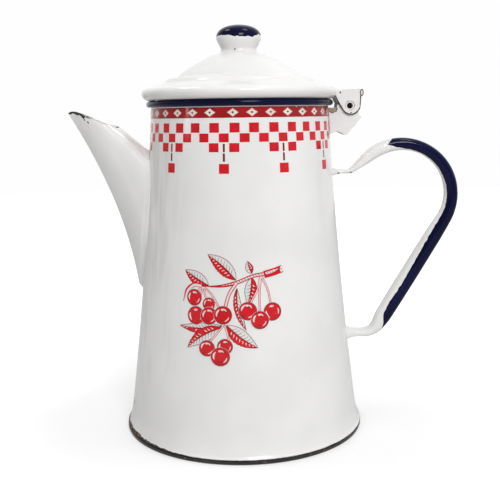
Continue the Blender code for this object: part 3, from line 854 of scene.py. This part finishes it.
def make_knob(white, navy):
    outer = [(11.2, 201.2), (10.2, 201.95), (9.6, 202.6), (9.35, 203.4), (9.6, 204.3), (10.2, 205.4),
             (10.9, 206.6), (11.5, 207.8), (11.85, 209.0), (11.85, 210.1), (11.5, 211.4),
             (10.8, 212.6), (9.8, 213.6),
             (8.4, 214.5), (6.6, 215.25), (4.5, 215.75), (2.2, 216.1), (0.0, 216.2)]
    inner = [(0.0, 215.1), (3.5, 214.8), (6.2, 214.2), (9.0, 212.7), (10.4, 211.0), (10.8, 209.4),
             (10.2, 207.5), (9.1, 205.6), (8.3, 203.6), (8.6, 202.2), (9.6, 201.2)]
    outer = curve(outer, 0.35)
    profile = outer + curve(inner, 0.8)
    border = min(range(len(outer)), key=lambda j: abs(outer[j][1] - 209.6) + abs(outer[j][0] - 11.8))

    def shift(turn, j, r, z):
        if j >= len(outer):
            return r, z
        wave = 0.45 * sin(turn - 0.3) ** 2 - 0.35 * sin(3 * turn + 0.6)
        wave += (1.1 * ripple(3.2 * sin(turn), 3.2 * cos(turn), 8)
                 + 0.5 * ripple(9 * sin(turn), 9 * cos(turn), 4))
        move = wave / 0.35 * max(0.0, 1 - abs(j - border) / 9)
        at = min(max(j + move, 0), len(outer) - 1.001)
        k = int(at)
        a, b = outer[k], outer[k + 1]
        return a[0] + (b[0] - a[0]) * (at - k), a[1] + (b[1] - a[1]) * (at - k)

    row_mats = [1 if border <= j < len(outer) - 1 else 0 for j in range(len(profile))]
    turned("lid_knob", profile, [white, navy], "lid", steps=144, row_mats=row_mats, shift=shift,
           nodes=("lid_knob",), slot="knob_enamel", closed=True,
           wear=spots((-2.0, -9.6, 203.1, 1.0, 0.70), (9.0, -2.5, 203.0, 1.2, 0.6)))


# ------------ printed border and sprig

class Ink:
    """One colour of the transfer: patches wrapped on the wall, each a lift above it."""

    def __init__(self, name, mat):
        self.name = name
        self.mat = mat
        self.points = []
        self.faces = []

    def patch(self, rows, lift):
        """rows hold (mm round the wall, z)."""
        start = len(self.points)
        points, faces = grid(rows)
        self.points += [on_wall(u / GIRTH, z, lift) for u, z in points]
        self.faces += [tuple(start + i for i in f) for f in faces]

    def done(self):
        obj = piece(self.name, self.points, self.faces, [self.mat], "pot", slot="body_enamel",
                    closed=False, sharp=60)
        return obj


def tile(ink_, middle, half, low, high, lift, seed):
    """A square of the border with slightly uneven sides, in degrees round the wall."""
    rows = []
    for j in range(4):
        z = low + (high - low) * j / 3
        row = []
        for i in range(7):
            uneven = 0.06 * ripple(i + seed, j, 1)
            turn = middle + SIGHT_TURN + half * (i / 3 - 1) * (1 + uneven * (i in (0, 6)))
            row.append((radians(turn) * GIRTH, z + 0.10 * ripple(i, seed, 2) * (j in (0, 3))))
        rows.append(row)
    ink_.patch(rows, lift)


def diamond(ink_, middle, half, z, tall, lift):
    """A lozenge whose sides bow in a little."""
    rows = []
    for i in range(-5, 6):
        share = 1 - abs(i) / 5
        reach = tall * share ** 1.12
        u = radians(middle + SIGHT_TURN + half * i / 5) * GIRTH
        rows.append([(u, z - reach), (u, z), (u, z + reach)])
    ink_.patch(rows, lift)


def border(red, band, cream, dark):
    steps = 240
    band.patch([[(radians(360 * i / steps) * GIRTH, z + 0.09 * ripple(8 * cos(radians(360 * i / steps)),
                8 * sin(radians(360 * i / steps)), z)) for i in range(steps + 1)]
                for z in (168.2, 170, 171.7, 173.3)], 0.04)
    places = [-17.8 - 11.25 * k for k in range(-1, 14)] + [-4.1 + 11.2 * k for k in range(17)]
    for turn in places[1:]:
        diamond(cream, turn, 3.45, 170.75, 1.95, 0.07)
        diamond(dark, turn, 0.85, 170.75, 0.62, 0.10)
    for k in range(40):
        turn = k * 9.0 + 3 * ripple(k, 0, 7)
        if ripple(k * 1.7, 3, 9) > 0.12:
            diamond(cream, turn, 0.9 + ripple(k, 5, 2), 173.3, 0.5, 0.06)
    for k in range(10):
        middle = -9.45 + 35.25 * k if k < 5 else -9.45 - 35.25 * (k - 4)
        for side in (-12, 0, 12):
            tile(red, middle + side, 2.9, 156.6, 160.8, 0.05, k * 7 + side)
        for side in (-6, 6):
            tile(red, middle + side, 2.9, 151.9, 156.2, 0.05, k * 5 + side)
        for side in (-18, -6, 6):
            tile(red, middle + side + 0.3, 2.9, 161.2, 165.8, 0.05, k * 3 + side)
        tile(dark, middle, 0.62, 151.9, 155.9, 0.05, k)
        tile(dark, middle, 0.62, 147.4, 151.3, 0.05, k + 50)
        tile(red, middle, 2.9, 141.6, 146.3, 0.05, k + 90)


def ribbon(ink_, line, width, lift, taper=True):
    """A drawn stroke along a smooth line through points."""
    line = curve(line, 0.8)
    rows = []
    for i, (u, z) in enumerate(line):
        a, b = line[max(i - 1, 0)], line[min(i + 1, len(line) - 1)]
        along = Vector((b[0] - a[0], b[1] - a[1])).normalized()
        share = i / (len(line) - 1)
        half = width / 2 * (1 - 0.75 * smooth(0.6, 1.0, share) if taper else 1)
        rows.append([(u - along.y * half * k, z + along.x * half * k) for k in (-1, 0, 1)])
    ink_.patch(rows, lift)


def disc(ink_, u, z, radius, lift, squash=1.0, start=0.0, end=360.0, inner=0.0):
    rows = []
    for k in range(5):
        share = inner + (1 - inner) * k / 4
        rows.append([(u + radius * share * cos(radians(a)), z + radius * squash * share * sin(radians(a)))
                     for a in np.linspace(start, end, 33)])
    ink_.patch(rows, lift)


def crescent(ink_, u, z, radius, start, end, thick, lift):
    """A curved highlight that thins to both ends."""
    rows = []
    for a in np.linspace(start, end, 13):
        half = thick / 2 * sin(pi * (a - start) / (end - start)) ** 0.7 + 0.01
        rows.append([(u + (radius + half * k) * cos(radians(a)), z + (radius + half * k) * sin(radians(a)))
                     for k in (-1, 0, 1)])
    ink_.patch(rows, lift)


def leaf(inks, base, tip, width, bend, dark_side, seed, lift):
    """A serrated leaf: one half solid red with light nicks, the other open with fine veins."""
    red, line, light = inks["red"], inks["maroon"], inks["white"]
    base, tip = Vector(base), Vector(tip)
    across = Vector((base.y - tip.y, tip.x - base.x)).normalized()
    middle = (base + tip) / 2 + across * bend
    teeth = max(5, int((tip - base).length / 1.8))

    def rib(t):
        return base * (1 - t) ** 2 + middle * 2 * t * (1 - t) + tip * t * t

    def edge(t, side):
        along = (rib(min(t + 0.02, 1)) - rib(max(t - 0.02, 0))).normalized()
        out = Vector((-along.y, along.x)) * side
        saw = 1 + 0.10 * (1 - (t * teeth) % 1.0) * (1 if 0.1 < t < 0.95 else 0)
        return rib(t) + out * width * saw * sin(pi * t ** 0.85) ** 0.85

    steps = teeth * 4
    for side in (-1, 1):
        rows = []
        for i in range(steps + 1):
            t = i / steps
            a, b = rib(t), edge(t, side)
            rows.append([tuple(a.lerp(b, k / 4)) for k in range(5)])
        solid = side == dark_side
        (red if solid else light).patch(rows, lift)
        rim = [tuple(edge(i / steps, side)) for i in range(steps + 1)]
        fine = []
        for i, p in enumerate(rim):
            inward = (rib(i / steps) - Vector(p))
            inward = inward.normalized() * 0.30 if inward.length > 0.01 else Vector((0, 0))
            fine.append([p, (p[0] + inward.x, p[1] + inward.y)])
        line.patch(fine, lift + 0.015)
        for k in range(2, teeth):
            t = k / (teeth + 1)
            a, b = rib(t), edge(min(1, t + 0.10), side)
            end = a.lerp(b, 0.78 + 0.12 * ripple(k, seed, 1))
            bow = (a + end) / 2 + (tip - base).normalized() * 0.25
            if solid:
                if ripple(k * 1.3, seed, 6) > -0.25:
                    nick = [tuple(a.lerp(end, 0.35)), tuple(bow), tuple(a.lerp(end, 0.85))]
                    ribbon(light, nick, 0.42, lift + 0.015)
            else:
                ribbon(line, [tuple(a), tuple(bow), tuple(end)], 0.22, lift + 0.015)
    ribbon(line, [tuple(rib(t)) for t in (0, 0.33, 0.66, 0.97)], 0.42, lift + 0.03)


def cherry(inks, u, z, radius, lift, turn):
    red, line, light = inks["red"], inks["maroon"], inks["white"]
    disc(light, u, z, radius + 0.22, lift)
    disc(line, u, z, radius + 0.10, lift + 0.015)
    disc(red, u, z, radius - 0.20, lift + 0.03)
    crescent(light, u, z, radius * 0.72, turn + 120, turn + 195, radius * 0.20, lift + 0.045)
    crescent(light, u, z, radius * 0.70, turn - 75, turn - 15, radius * 0.11, lift + 0.045)
    crescent(light, u, z + radius * 0.25, radius * 0.42, turn + 20, turn + 95, radius * 0.14, lift + 0.045)
    disc(light, u - radius * 0.05, z + radius * 0.62, radius * 0.17, lift + 0.045, 0.7)
    for share, start in ((0.84, -150), (0.60, -140)):
        crescent(line, u, z, radius * share, turn + start, turn + start + 62, radius * 0.07, lift + 0.045)


def stem(inks, line_, lift, width=1.05):
    ribbon(inks["red"], line_, width, lift, False)
    ribbon(inks["white"], line_, width - 0.55, lift + 0.015, False)


def sprig(inks):
    """The photo's twig, leaves and cherries, placed as there: not generic. In mm round the wall and up."""
    red, white, maroon = inks["red"], inks["white"], inks["maroon"]
    low, mid, high = 0.03, 0.10, 0.17
    leaf(inks, (-2.6, 90.3), (-17.4, 102.6), 3.5, -1.8, 1, 1, low)
    leaf(inks, (-16.6, 87.4), (-30.2, 94.4), 3.2, 0.3, 1, 2, low)
    leaf(inks, (5.4, 93.4), (3.3, 99.6), 1.9, 0.6, -1, 4, low)
    leaf(inks, (5.2, 91.6), (2.9, 78.2), 2.9, 1.0, 1, 5, low)
    leaf(inks, (-2.2, 86.4), (2.2, 65.6), 1.9, -3.4, -1, 6, low)
    leaf(inks, (-9.6, 67.8), (-32.4, 66.6), 2.5, 2.0, 1, 7, low)
    leaf(inks, (-9.8, 67.0), (-27.4, 56.0), 3.3, -2.6, -1, 8, low + 0.05)
    leaf(inks, (-7.4, 68.4), (7.6, 57.0), 3.6, -1.5, -1, 9, low)
    ribbon(red, [(-19.6, 87.0), (-24.5, 87.4), (-28.4, 84.6), (-30.6, 79.0)], 2.2, low + 0.05)
    ribbon(white, [(-20.5, 87.0), (-24.6, 87.2), (-28.1, 84.2), (-30.2, 79.6)], 1.2, low + 0.065)
    for points in ([(-19.7, 86.6), (-22.5, 84.5), (-24.4, 80.0)],
                   [(-19.5, 86.6), (-21.0, 82.0), (-23.2, 77.6)],
                   [(-19.2, 86.6), (-18.2, 82.0), (-16.0, 76.4)],
                   [(-18.9, 86.6), (-15.0, 83.0), (-11.0, 76.6)],
                   [(9.6, 92.0), (8.2, 86.0), (4.2, 78.6)], [(10.0, 92.0), (9.0, 84.0), (8.8, 74.8)],
                   [(10.2, 92.0), (13.2, 85.0), (14.6, 77.6)], [(-8.8, 68.4), (-13.0, 63.0), (-16.0, 59.6)],
                   [(-8.4, 68.4), (-7.0, 64.0), (-6.4, 60.4)]):
        stem(inks, points, mid)
    back = [(-16.4, 78.4, 3.1), (-24.3, 81.2, 4.0), (-8.2, 57.8, 3.7), (-23.2, 72.4, 4.4), (15.2, 74.4, 4.4)]
    middle = [(-16.2, 72.6, 4.2), (-17.0, 56.6, 3.9), (3.0, 75.2, 4.4)]
    front = [(-9.2, 73.2, 4.4), (8.8, 70.6, 4.3), (-10.4, 52.8, 4.5)]
    for row, rise, turn in ((back, 0, 12), (middle, 0.07, -8), (front, 0.14, 6)):
        for number, (u, z, radius) in enumerate(row):
            cherry(inks, u, z, radius, high + rise, turn * number)
    twig = [(20.6, 94.8), (13.0, 93.2), (6.0, 92.2), (-2.1, 89.2), (-10.0, 87.4), (-19.7, 87.0)]
    ribbon(red, twig, 1.9, mid + 0.05)
    ribbon(white, [(18.5, 94.4), *twig[1:5]], 0.9, mid + 0.065)
    fork = [(-2.0, 89.4), (-5.8, 84.0), (-8.0, 77.0), (-9.3, 68.0)]
    ribbon(red, fork, 1.8, mid + 0.05, False)
    ribbon(white, fork, 0.9, mid + 0.065, False)
    ribbon(red, [(11.5, 92.7), (16.5, 93.7), (21.4, 95.0)], 3.6, mid + 0.08, False)
    ribbon(white, [(12.4, 93.3), (15.0, 93.8), (19.0, 95.0)], 1.1, mid + 0.095)
    disc(white, 20.9, 94.9, 0.9, mid + 0.095, 1.7)
    bark = curve(twig, 1.45)
    for k, (u, z) in enumerate(bark):
        tilt = 0.35 * ripple(k * 1.3, 2, 3)
        ribbon(maroon, [(u - 0.5, z + 0.45 + tilt), (u + 0.1, z + tilt), (u + 0.45, z - 0.5 + tilt)],
               0.26, mid + 0.11)


def make_print():
    red = Ink("print_red", ink("ink_red", RED, RED_SHADE, 21))
    band = Ink("print_band", ink("ink_band", BAND_RED, BAND_SHADE, 22))
    cream = Ink("print_cream", ink("ink_cream", CREAM, CREAM_SHADE, 23))
    dark = Ink("print_dark", ink("ink_dark", MAROON, MAROON_SHADE, 24))
    light = Ink("print_white", ink("ink_white", (0.72, 0.715, 0.705, 1), (0.69, 0.68, 0.67, 1), 25))
    border(red, band, cream, dark)
    sprig({"red": red, "maroon": dark, "white": light})
    for one in (red, band, cream, dark, light):
        one.done()


# ------------ studio

def make_floor():
    mesh = bpy.data.meshes.new("floor")
    mesh.from_pydata([(1.5 * cos(radians(a)), 1.5 * sin(radians(a)), 0) for a in range(0, 360, 5)], [],
                     [tuple(range(72))])
    floor = bpy.data.objects.new("floor", mesh)
    bpy.context.scene.collection.objects.link(floor)
    s = Shader("floor_white", 0.7)
    s.set(s.bsdf.inputs["Base Color"], s.mix(s.noise(400, 2), (0.47, 0.47, 0.47, 1), (0.5, 0.5, 0.5, 1)))
    s.bsdf.inputs["Emission Color"].default_value = (1, 1, 1, 1)
    seen = s.node("ShaderNodeLightPath").outputs["Is Camera Ray"]
    far = s.node("ShaderNodeVectorMath", operation="LENGTH")
    s.set(far.inputs[0], s.place)
    shown = s.math("MULTIPLY", seen, s.step(far.outputs["Value"], 0.09, 0.26, 0.36, 0.72))
    s.set(s.bsdf.inputs["Emission Strength"], s.math("ADD", shown, 0.12))
    s.bsdf.inputs["Specular IOR Level"].default_value = 0.2
    mesh.materials.append(s.mat)


def make_world():
    world = bpy.data.worlds.new("studio")
    bpy.context.scene.world = world
    world.use_nodes = True
    tree = world.node_tree
    back = tree.nodes["Background"]
    place = tree.nodes.new("ShaderNodeTexCoord").outputs["Generated"]
    split = tree.nodes.new("ShaderNodeSeparateXYZ")
    tree.links.new(place, split.inputs[0])

    def ramp(axis, *values):
        """A smooth step along an axis: from, to, value before, value after."""
        node = tree.nodes.new("ShaderNodeMapRange")
        node.interpolation_type = "SMOOTHSTEP"
        for index, value in enumerate(values, 1):
            node.inputs[index].default_value = value
        tree.links.new(split.outputs[axis], node.inputs[0])
        return node.outputs[0]

    def combine(how, a, b):
        node = tree.nodes.new("ShaderNodeMath")
        node.operation = how
        tree.links.new(a, node.inputs[0])
        tree.links.new(b, node.inputs[1])
        return node.outputs[0]

    side = ramp("X", -0.85, 0.85, 0.37, 0.62)
    behind = ramp("Y", 0.1, 0.75, 0.0, 1.0)
    front = ramp("Y", -1.0, -0.25, 0.5, 1.0)
    most = combine("MAXIMUM", combine("MULTIPLY", side, front), behind)
    seen = tree.nodes.new("ShaderNodeLightPath").outputs["Is Camera Ray"]
    tree.links.new(combine("MAXIMUM", most, seen), back.inputs["Color"])
    back.inputs["Strength"].default_value = 0.99


def area_light(name, place, size, power, at=(0, 0, 0.09), tall=None):
    data = bpy.data.lights.new(name, "AREA")
    data.energy = power
    data.shape = "RECTANGLE"
    data.size = size
    data.size_y = tall or size
    light = bpy.data.objects.new(name, data)
    light.location = place
    light.rotation_euler = (Vector(at) - Vector(place)).to_track_quat("-Z", "Y").to_euler()
    bpy.context.scene.collection.objects.link(light)


def make_lights():
    area_light("top_left", (-0.56, 0.19, 1.13), 0.26, 2.0)
    area_light("top_right", (0.37, -0.02, 1.23), 0.26, 2.1)
    area_light("front", (0.30, -1.2, 0.86), 0.45, 11.6)
    area_light("strip", (0.0, -0.95, 1.0), 2.2, 0.9, tall=0.04)
    area_light("left_window", (-0.78, -0.34, 0.247), 0.06, 0.045, tall=0.018)


def make_camera():
    pitch, roll = radians(9.35), radians(-0.80)
    forward = Vector((0, cos(pitch), -sin(pitch)))
    up = Vector((0, sin(pitch), cos(pitch)))
    right = Vector((1, 0, 0))
    tilted_right = right * cos(roll) + up * sin(roll)
    tilted_up = up * cos(roll) - right * sin(roll)
    data = bpy.data.cameras.new("camera")
    data.lens = 58.9
    data.sensor_width = 36
    data.clip_start = 0.01
    camera = bpy.data.objects.new("camera", data)
    turn = Matrix((tilted_right, tilted_up, -forward)).transposed().to_4x4()
    camera.matrix_world = Matrix.Translation((0.00445, -0.44273, 0.16921)) @ turn
    bpy.context.scene.collection.objects.link(camera)
    bpy.context.scene.camera = camera


def main():
    bpy.context.scene.view_settings.view_transform = "Standard"
    white = enamel("white_enamel", WHITE, WHITE_SHADE, seed=1.0, streaks=0.35)
    lid_white = enamel("lid_white_enamel", WHITE, WHITE_SHADE, seed=2.0)
    navy = enamel("navy_enamel", NAVY, NAVY_SHADE, seed=3.0, waviness=0.08, gloss_level=0.14)
    black = enamel("black_enamel", (0.016, 0.014, 0.015, 1), (0.03, 0.024, 0.02, 1), seed=4.0)
    make_body(white, navy)
    make_base(black, lid_white)
    make_spout(white)
    make_handle(lid_white, navy)
    make_hinge()
    make_lid(lid_white)
    make_knob(lid_white, navy)
    make_print()
    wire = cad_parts["rim_wire"].data.materials
    wire.clear()
    wire.append(steel("wire_steel", (0.42, 0.41, 0.40, 1), (0.25, 0.23, 0.21, 1), 0.4))
    make_floor()
    make_world()
    make_lights()
    make_camera()


main()
